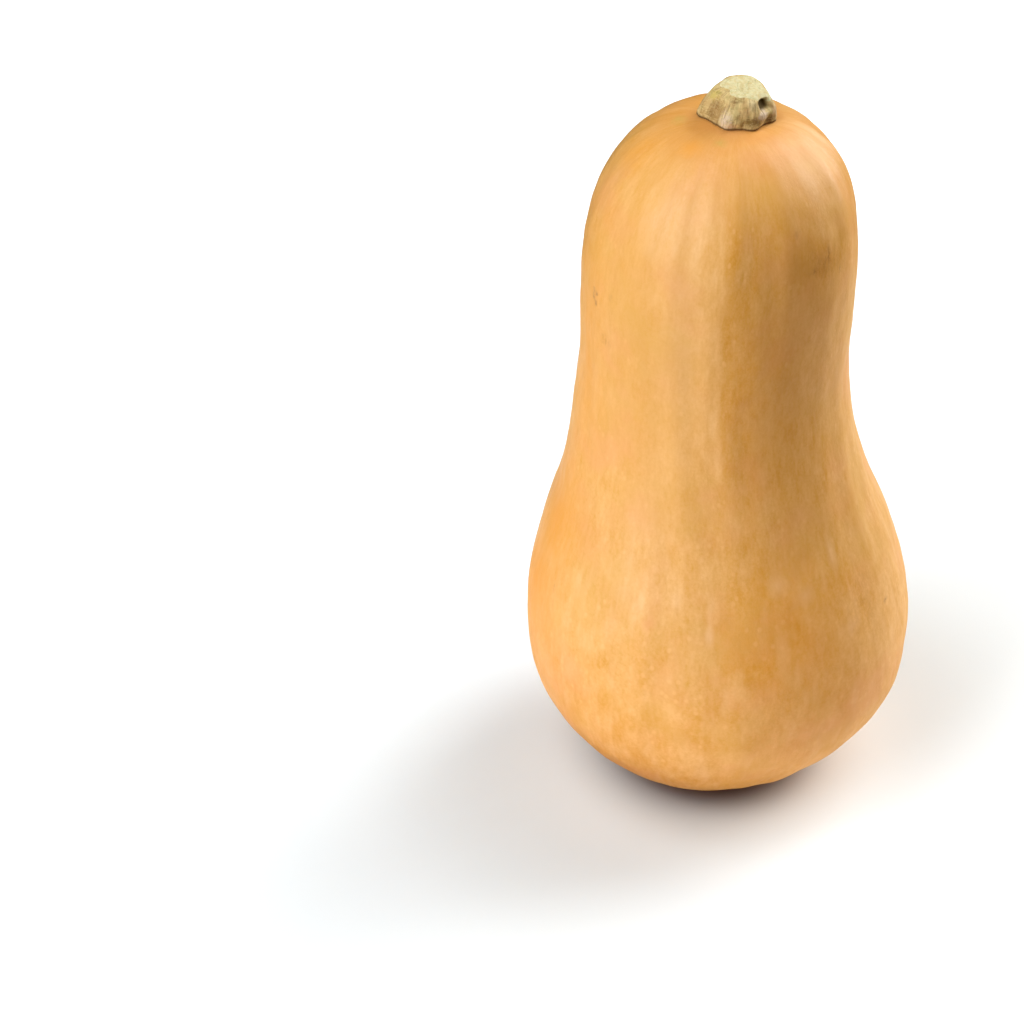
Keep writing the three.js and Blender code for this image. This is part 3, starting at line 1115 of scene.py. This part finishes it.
@dataclass(frozen=True)
class StemFinish:
    """The finish of the stem: dry tan skin with grey, olive and brown patches, and a pale cut.

    It has painted shade in its hollows and pit, under the cut's rim and at its root.
    """

    tan: Colour = srgb(196, 166, 110)
    straw: Colour = srgb(216, 194, 136)
    olive: Colour = srgb(150, 134, 70)
    brown: Colour = srgb(118, 84, 42)
    # dark: painted shade in the pit
    dark: Colour = srgb(84, 66, 24)
    # root: painted shade where the stem meets the crown
    root: Colour = srgb(92, 62, 24)
    cut: Colour = srgb(216, 208, 164)
    cut_green: Colour = srgb(180, 180, 128)
    cut_tan: Colour = srgb(206, 188, 134)
    patches: tuple = (
        Patch(199, 0.48, 5.4, 4.6, (176, 136, 78), 0.6), Patch(190, 0.82, 2.6, 1.6, (196, 176, 92), 0.7),
        Patch(205, 0.20, 3.4, 1.8, (150, 118, 62), 0.7), Patch(222, 0.55, 2.0, 3.4, (178, 142, 84), 0.6),
        Patch(244, 0.34, 2.0, 3.0, (214, 194, 172), 0.85), Patch(250, 0.14, 2.2, 1.6, (204, 176, 146), 0.7),
        # The patch at 256 degrees, just under the cut, is a painted shadow under the cut's rim.
        Patch(256, 0.93, 2.6, 0.9, (158, 132, 84), 0.75), Patch(264, 0.62, 2.2, 2.4, (198, 176, 118), 0.7),
        Patch(278, 0.66, 2.2, 2.0, (206, 168, 112), 0.7), Patch(281, 0.30, 2.2, 1.8, (146, 120, 60), 0.75),
        Patch(297, 0.30, 2.2, 2.0, (112, 84, 40), 0.8), Patch(290, 0.84, 1.5, 2.2, (222, 206, 160), 0.7),
        # The dark patch at 333 degrees, low down, is painted shade in the hollow there.
        Patch(314, 0.47, 2.2, 2.0, (222, 200, 178), 0.9), Patch(333, 0.20, 1.9, 1.6, (84, 56, 22), 0.85),
        Patch(335, 0.42, 1.7, 1.6, (150, 136, 72), 0.75), Patch(350, 0.40, 2.2, 2.4, (208, 172, 138), 0.75),
        Patch(20, 0.35, 3.4, 3.0, (140, 112, 60), 0.7), Patch(50, 0.50, 2.8, 4.0, (210, 190, 150), 0.7),
        Patch(85, 0.40, 3.4, 3.0, (128, 98, 50), 0.7), Patch(115, 0.45, 2.6, 3.6, (208, 184, 150), 0.7),
        Patch(145, 0.40, 3.6, 3.4, (154, 134, 76), 0.7),
    )
    patch_edge: Noise = Noise(0.9, 4.0, 0.65)
    patch_ragged: float = 1.8
    patch_ends: tuple = (0.2, 1.1)  # where a patch is full and where it has faded out, in half sizes
    fibre: Noise = Noise(0.8, 4.0, 0.6, 0.4, follows="fibre", squeeze=(1.0, 1.0, 0.18))
    fibre_climb: tuple = (0.35, 0.65)
    fibre_depth: float = 0.07
    thread: Noise = Noise(0.35, 3.0, 0.6, 0.3, follows="fibre", squeeze=(1.0, 1.0, 0.12))
    thread_climb: tuple = (0.52, 0.34, 0.0, 0.5)
    thread_depth: float = 0.03
    moss: Noise = Noise(2.0, 3.0, 0.6, 0.6, shift=5.0, climb=(0.5, 0.68, 0.0, 0.45))
    hatch: Noise = Noise(0.5, 3.0, 0.6, 0.5, squeeze=(0.5, 0.5, 1.6), climb=(0.5, 0.66, 0.0, 0.5))
    # How the painted shade comes in: in the hollows, low at the root, and in the pit.
    hollow_shade_climb: tuple = (0.3, 0.9, 0.0, 0.32)
    foot_shade_climb: tuple = (0.45, 1.0, 0.0, 0.95)
    pit_shade_climb: tuple = (0.35, 0.9)
    pith: Noise = Noise(1.4, 3.0, 0.6, 0.4)
    pith_climb: tuple = (0.4, 0.7)
    pith_depth: float = 0.1
    vein: Noise = Noise(4.2, 2.0, 0.5, 1.0)
    vein_climb: tuple = (0.0, 0.03, 0.5, 0.0)
    cut_edge: Noise = Noise(1.2, 3.0)
    cut_ragged: float = 0.4
    cut_climb: tuple = (0.6, 0.8)
    roughness: float = 0.82
    specular: float = 0.3

    def material(self) -> bpy.types.Material:
        """Writes the stem's material.

        Returns:
            The material, for a mesh with the attributes fibre, cut, hollow, foot and pit.
        """
        bench = Bench("dry_stem")
        fibre, threads, pith = (bench.noise(noise) for noise in (self.fibre, self.thread, self.pith))
        colour = bench.lay(bench.ramp(fibre, *self.fibre_climb), self.tan, self.straw)
        edge = bench.noise(self.patch_edge)
        edge = bench.maths(Step.MULTIPLY_ADD, edge, self.patch_ragged, -0.5 * self.patch_ragged)
        for patch in self.patches:
            distance = bench.maths(Step.ADD, patch.distance(bench), edge)
            share = bench.ramp(distance, *self.patch_ends, patch.strength, 0.0)
            colour = bench.lay(share, colour, srgb(*patch.colour))
        colour = bench.lay(bench.noise(self.moss), colour, self.olive)
        colour = bench.lay(bench.ramp(threads, *self.thread_climb), colour, self.brown)
        colour = bench.lay(bench.noise(self.hatch), colour, self.straw)
        # Painted shade in the valleys between the ridges and in the hollows of the side.
        colour = bench.lay(bench.ramp(bench.number("hollow"), *self.hollow_shade_climb), colour, self.brown)
        # Painted shade low on the side, where the stem meets the crown.
        colour = bench.lay(bench.ramp(bench.number("foot"), *self.foot_shade_climb), colour, self.root)

        cut = bench.lay(bench.ramp(pith, *self.pith_climb), self.cut, self.cut_tan)
        veins = bench.maths(Step.ABSOLUTE, bench.maths(Step.SUBTRACT, bench.noise(self.vein), 0.5))
        cut = bench.lay(bench.ramp(veins, *self.vein_climb), cut, self.cut_green)
        edge = bench.noise(self.cut_edge)
        share = bench.maths(Step.MULTIPLY_ADD, edge, self.cut_ragged, bench.number("cut"))
        colour = bench.lay(bench.ramp(share, *self.cut_climb), colour, cut)
        # Painted shade in the pit.
        colour = bench.lay(bench.ramp(bench.number("pit"), *self.pit_shade_climb), colour, self.dark)

        normal = bench.bump(fibre, self.fibre_depth)
        normal = bench.bump(threads, self.thread_depth, Normal=normal)
        normal = bench.bump(pith, self.pith_depth, Normal=normal)
        gloss = {"Roughness": self.roughness, "Specular IOR Level": self.specular}
        return bench.finish({"Base Color": colour, "Normal": normal, **gloss})


@dataclass
class Stem:
    """The cut stub of the stem, sunk a little into the crown."""

    fruit: FruitForm
    form: StemForm = field(default_factory=StemForm)
    finish: StemFinish = field(default_factory=StemFinish)
    sides: int = 320
    side_rings: int = 84
    cut_rings: int = 56
    root_rings: int = 4
    root_ends: tuple = (0.2, 0.9)  # how wide the first and the last ring under the root are
    fibres: Ripples = Ripples(0.03, 1.0, seed=11)
    fibre_climb: float = 1.6
    fibre_sway: float = 0.4  # how far they wander up and down
    fibre_turns: int = 3  # how often they do so round the stem
    lumps: Ripples = Ripples(0.10, 5.0, seed=12)
    creases: Ripples = Ripples(0.06, 2.4, seed=14)
    inset: float = 0.2  # keeps those within the driving shape
    cut_lumps: Ripples = Ripples(0.07, 1.3, seed=21)
    cut_grain: Ripples = Ripples(0.035, 0.6, seed=22)
    cut_inset: float = 0.154
    cut_rim: float = 0.9  # how far inward the cut's unevenness has come in
    cut_soft: float = 0.05  # how softly the pale of the cut comes in
    valley_lift: float = 1.3  # the ridge height at which a place no longer counts as a valley
    valley_shade: float = 0.6  # how dark the painted shade in a valley is
    hollow_shade_depth: float = 0.9  # the depth at which the painted shade in a hollow is full
    hollow_shade_fade: tuple = (0.5, 0.95)  # where the painted shade of the hollows goes out up the side
    foot_shade_share: float = 0.2  # how far up the side the painted shade at the root goes
    rim_share: float = 0.99  # how far inward the side ends

    def build(self) -> bpy.types.Object:
        """Builds and dresses the stem.

        Returns:
            The new object, which stands for the CAD node stem.
        """
        climb = np.linspace(0.0, 1.0, self.side_rings + 1)[:, None]
        share = np.vstack([np.zeros((self.root_rings, 1)), climb, np.ones((self.cut_rings, 1))])
        root = np.linspace(*self.root_ends, self.root_rings)[:, None]
        inward = np.vstack([root, np.ones_like(climb), np.linspace(1.0, 0.0, self.cut_rings + 2)[1:-1, None]])
        grid = StubGrid(np.linspace(0.0, TURN, self.sides, endpoint=False)[None, :], share, inward)
        rings, relief = self.surface(grid)
        poles = self.surface(StubGrid(np.zeros(2), np.array([1.0, 0.0]), np.zeros(2)))[0]
        stem = ring_mesh("stem_stub", rings, *poles)
        fit_inside(stem, "stem")
        self.write_sides(stem, grid, relief)
        stem.data.materials.append(self.finish.material())
        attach(stem, "root")
        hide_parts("stem")
        return stem

    def surface(self, grid: StubGrid) -> tuple[np.ndarray, np.ndarray]:
        """Works out the stem's surface.

        The radius at an angle is the driving one plus fibres, lumps and creases, all times inward. The height
        goes from the crown at share 0 to the cut at share 1.

        Args:
            grid: Where to work it out.

        Returns:
            The points, and how far the relief lifts each of them.
        """
        form, angle, share = self.form, grid.angle, grid.share
        place = grid.unrolled()
        climb = self.fibre_climb * share + self.fibre_sway * np.sin(self.fibre_turns * angle)
        fibre = triples(place[..., 0], place[..., 1], climb)
        relief = self.fibres.at(fibre) + self.lumps.at(place) + self.creases.at(place) + form.knob_lift(grid)
        radius = (form.radius(grid) + relief - self.inset - form.pit_depth * form.pit(grid)) * grid.inward
        right, back = radius * np.cos(angle), radius * np.sin(angle)
        middle = self.fruit.point(0.0, self.fruit.height, 0.0)
        x = middle[0] + form.x + form.lean_x * share + right
        y = middle[1] + form.y + form.lean_y * share + back
        root = self.fruit.crown_height(x, y) - form.sunk
        grain = triples(x, y, 0.0)
        rough = self.cut_lumps.at(grain) + self.cut_grain.at(grain) - self.cut_inset
        cut = self.fruit.height + form.height + form.cut_slope * back
        cut = cut - form.cut_fall * np.maximum(right, 0.0) ** 2
        cut = cut - form.cut_dish * bell(np.hypot(right, back), form.cut_dish_reach)
        cut = cut + rough * smooth_step(grid.inward, 1.0, self.cut_rim)
        return triples(x, y, root + (cut - root) * share), relief

    def write_sides(self, stem: bpy.types.Object, grid: StubGrid, relief: np.ndarray) -> None:
        """Keeps each vertex's place along the fibres, how much it lies on the cut, and its painted shade in a
        hollow or low.

        Args:
            stem: The stem.
            grid: The grid that it is made on.
            relief: How far its relief lifts each point.
        """
        place, share = grid.unrolled(), grid.share
        write_attribute(stem, "fibre", np.vstack([place.reshape(-1, 3), [[0, 0, STEM_CLIMB], [0, 0, 0]]]))
        past = share + (1.0 - grid.inward) * (share == 1.0) - self.form.cut_bounds(grid)
        valley = self.valley_shade * (1.0 - self.form.ridge_lift(grid) / self.valley_lift)
        hollow = np.clip(valley - relief / self.hollow_shade_depth, 0.0, 1.0)
        write_zones(stem, relief.shape, {
            "cut": (smooth_step(past, -self.cut_soft, self.cut_soft), 1.0, 0.0),
            "hollow": (hollow * (1.0 - smooth_step(share, *self.hollow_shade_fade)), 0.0, 0.0),
            "foot": (smooth_step(share, self.foot_shade_share, 0.0), 0.0, 1.0),
            "pit": (self.form.pit(grid) * (grid.inward > self.rim_share), 0.0, 0.0),
        })


# ---------------------------------------------------------------- the studio


@dataclass(frozen=True)
class SoftBox:
    """A soft rectangular lamp that looks at the squash. Its sizes are in metres."""

    name: str
    azimuth: float  # degrees to the right of the front
    elevation: float
    width: float
    height: float
    power: float  # watts
    colour: Colour = (1.0, 1.0, 1.0)
    distance: float = 1.0
    aim: float = 0.11  # the height that it looks at

    def build(self) -> None:
        """Hangs the lamp."""
        lamp = bpy.data.lights.new(self.name, "AREA")
        lamp.shape = "RECTANGLE"
        lamp.size, lamp.size_y = self.width, self.height
        lamp.energy = self.power
        lamp.color = self.colour
        turn, rise = np.radians(self.azimuth), np.radians(self.elevation)
        out = Vector((np.sin(turn) * np.cos(rise), -np.cos(turn) * np.cos(rise), np.sin(rise)))
        hung = link(self.name, lamp)
        hung.location = Vector((0.0, 0.0, self.aim)) + self.distance * out
        hung.rotation_euler = (-out).to_track_quat("-Z", "Y").to_euler()


@dataclass(frozen=True)
class Ground:
    """A level disc of floor under the squash. Its sizes are in metres."""

    name: str
    reach: float
    drop: float  # under the squash, which keeps its face off the others
    colour: Colour
    glow_colour: Colour
    glows: tuple  # how far off each glow starts to come in and is full, and its strength
    painted_shadow: tuple  # x, y of the middle of the painted shadow under the squash, how far it is full, its fall-off
    painted_shadow_colour: Colour = (0.15, 0.08, 0.06)
    painted_bounce: tuple = ()  # x, y and reach of a warm patch of painted bounce light, if there is one
    painted_bounce_colour: Colour = (1.0, 1.0, 1.0)
    painted_bounce_climb: tuple = (0.5, 1.0, 1.0, 0.0)
    roughness: float = 0.8
    specular: float = 0.2
    sides: int = 96
    rings: int = 12
    shrink: float = 0.7  # from one ring to the next

    def build(self) -> bpy.types.Object:
        """Lays the disc: rings whose radii shrink by one share, closed by a middle point.

        Returns:
            The new object.
        """
        angle = np.linspace(0.0, TURN, self.sides, endpoint=False)
        radii = self.reach * self.shrink ** np.arange(self.rings)
        rings = triples(np.outer(radii, np.cos(angle)), np.outer(radii, np.sin(angle)), -self.drop)
        ground = ring_mesh(self.name, rings / MM, np.array([0.0, 0.0, -self.drop / MM]))
        ground.data.materials.append(self.material())
        return ground

    def from_place(self, bench: Bench, x: float, y: float, reach: float) -> Socket:
        """The distance from a place on the floor, in reaches."""
        away = bench.measure(Step.DISTANCE, bench.place(), (x / MM, y / MM, 0.0))
        return bench.maths(Step.DIVIDE, away, reach / MM)

    def material(self) -> bpy.types.Material:
        """Writes its plain finish with a painted shadow under the squash, glowing more and more away from it.

        The painted shadow is full up to a distance from its middle, and past that falls off as exp(-(past /
        reach)^2).

        Returns:
            The material.
        """
        bench = Bench(self.name)
        colour: Value = self.colour
        # A warm patch of painted bounce light.
        if self.painted_bounce:
            share = bench.ramp(self.from_place(bench, *self.painted_bounce), *self.painted_bounce_climb)
            colour = bench.lay(share, colour, self.painted_bounce_colour)
        # The painted shadow under the squash; dark is its share.
        x, y, full, reach = self.painted_shadow
        past = bench.maths(Step.SUBTRACT, self.from_place(bench, x, y, reach), full / reach)
        past = bench.maths(Step.MAXIMUM, past, 0.0)
        square = bench.maths(Step.MULTIPLY, past, past)
        dark = bench.maths(Step.EXPONENT, bench.maths(Step.MULTIPLY, square, -1.0))
        away = bench.measure(Step.LENGTH, bench.place((1.0, 1.0, 0.0)))
        glow: Value = 0.0
        for low, high, end in self.glows:
            glow = bench.maths(Step.ADD, bench.ramp(away, low / MM, high / MM, 0.0, end), glow)
        glow = bench.maths(Step.MULTIPLY, glow, bench.maths(Step.SUBTRACT, 1.0, dark))
        return bench.finish({
            "Base Color": bench.lay(dark, colour, self.painted_shadow_colour),
            "Roughness": self.roughness,
            "Specular IOR Level": self.specular,
            "Emission Color": self.glow_colour,
            "Emission Strength": glow,
        })


@dataclass
class Studio:
    """A pale floor, soft lamps all round, and the camera."""

    camera_place: tuple = (-0.06159, -0.67004, 0.61133)  # metres
    camera_pitch: float = 38.0  # down
    lens: float = 101.95
    film: float = 36.0
    white: tuple = (1.0, 1.0, 1.0, 1.0)
    # The table's warm glow is painted light, its warm patch at the front left is painted bounce light, and
    # its dark under the squash is a painted shadow.
    table: Ground = Ground(  # unseen, and throws light back on the squash
        "table", reach=0.32, drop=0.0002, colour=(0.93, 0.81, 0.62), glow_colour=(1.0, 0.72, 0.42),
        glows=((0.0, 0.01, 0.06),), painted_shadow=(-0.014, -0.012, 0.027, 0.018),
        painted_bounce=(-0.105, -0.075, 0.075), painted_bounce_colour=(0.90, 0.44, 0.10),
    )
    # The floor's dark under the squash is a painted shadow.
    floor: Ground = Ground(  # seen, and brighter away from the squash, as a lit sweep is
        "floor", reach=6.0, drop=0.0001, colour=(0.88, 0.95, 1.0), glow_colour=(1.0, 1.0, 1.0),
        glows=((0.065, 0.12, 0.12), (0.1, 0.7, 0.4), (0.6, 1.6, 0.46)),
        painted_shadow=(-0.0005, -0.002, 0.0220, 0.0106),
    )
    lamps: tuple = (
        SoftBox("key", -55.0, 25.0, 0.7, 0.9, 10.45),
        SoftBox("key_top", -68.0, 66.0, 0.4, 0.45, 2.4),
        SoftBox("rim", 122.0, 28.0, 0.75, 0.9, 12.0, (1.0, 0.985, 0.95)),
        SoftBox("fill", 30.0, 30.0, 0.9, 0.9, 1.1, (1.0, 0.74, 0.38)),
        SoftBox("rim_top", 122.0, 66.0, 0.4, 0.4, 2.0),
    )

    def build(self) -> None:
        """Builds the floor, the surroundings, the lamps and the camera."""
        self.table.build().visible_camera = False
        floor = self.floor.build()
        floor.visible_diffuse = floor.visible_glossy = floor.visible_shadow = False
        self.build_sky()
        for lamp in self.lamps:
            lamp.build()
        self.build_camera()

    def build_sky(self) -> None:
        """Surrounds the studio with white that is seen but lights nothing."""
        world = bpy.data.worlds.new("studio")
        world.use_nodes = True
        sky = world.node_tree.nodes["Background"]
        sky.inputs["Color"].default_value = self.white
        sky.inputs["Strength"].default_value = 1.0
        world.cycles_visibility.diffuse = False
        world.cycles_visibility.glossy = False
        bpy.context.scene.world = world

    def build_camera(self) -> None:
        """Sets up the camera, looking along +Y and down."""
        lens = bpy.data.cameras.new("camera")
        lens.sensor_width = self.film
        lens.lens = self.lens
        camera = link("camera", lens)
        camera.location = self.camera_place
        camera.rotation_euler = (np.radians(90.0 - self.camera_pitch), 0.0, 0.0)
        bpy.context.scene.camera = camera
        bpy.context.scene.view_settings.view_transform = "Standard"


def main() -> None:
    """Builds the studio and the squash, and reports each piece."""
    logging.basicConfig(level=logging.INFO, format="%(name)s: %(message)s")
    Studio().build()
    fruit = Fruit()
    for piece in (fruit.build(), Stem(fruit.form).build()):
        log.info("%s: %d faces", piece.name, len(piece.data.polygons))


if __name__ == "__main__":
    main()
